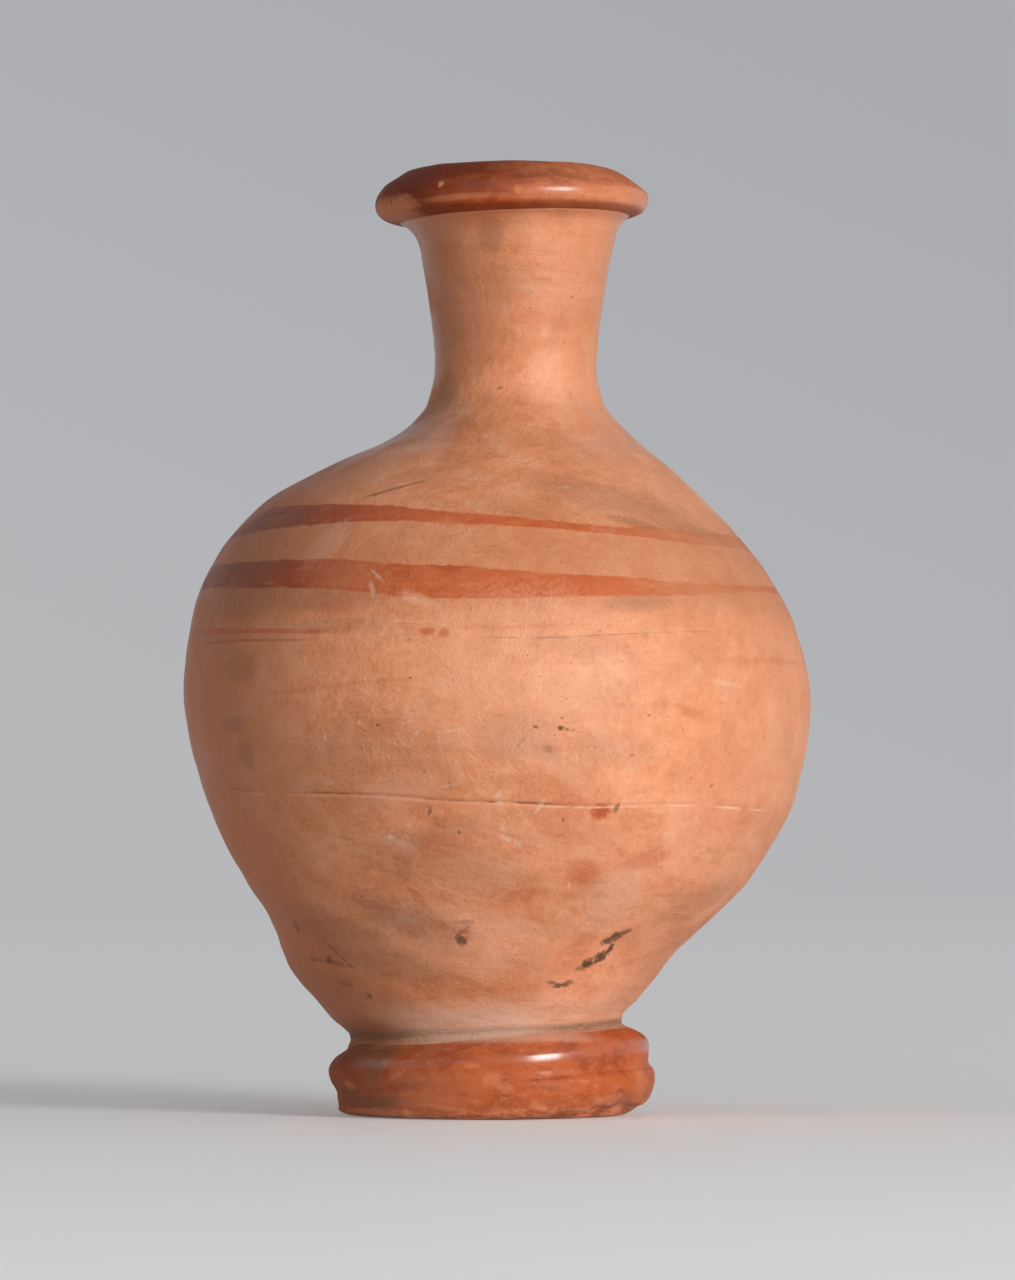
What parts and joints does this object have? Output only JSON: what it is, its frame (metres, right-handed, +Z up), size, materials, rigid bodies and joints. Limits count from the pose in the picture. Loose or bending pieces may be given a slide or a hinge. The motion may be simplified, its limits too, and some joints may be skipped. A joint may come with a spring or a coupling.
{
  "type": "unguentarium",
  "caption": "Small terracotta perfume flask with a round belly, narrow neck, rolled lip and moulded ring foot, painted with red slip bands.",
  "frame": {"origin": "on the resting plane, under the middle of the belly", "axes": "+Z up along the flask's axis from the foot to the mouth, -Y towards the front that the picture shows, +X to its right"},
  "size_m": [0.0626, 0.0626, 0.0941],
  "materials": {
    "body_clay": "smoothed, unglazed, with a faint burnish and fine wheel lines",
    "foot_clay": "fired clay, smoothed",
    "lip_clay": "fired clay, smoothed",
    "luting_slip": "dry, rough, pale",
    "foot_slip": "worn red slip with a satin gloss",
    "band_slip": "thin brushed red slip, matt to satin",
    "lip_slip": "worn red slip with a satin gloss"
  },
  "bodies": {
    "root": {"foot_ring": "foot_clay", "lower_body": "body_clay", "upper_body": "body_clay", "neck": "body_clay", "mouth_lip": "lip_clay", "foot_joint_fillet": "luting_slip", "foot_slip_coat": "foot_slip", "lower_shoulder_band": "band_slip", "upper_shoulder_band": "band_slip", "lip_slip_coat": "lip_slip"}
  },
  "joints": []
}
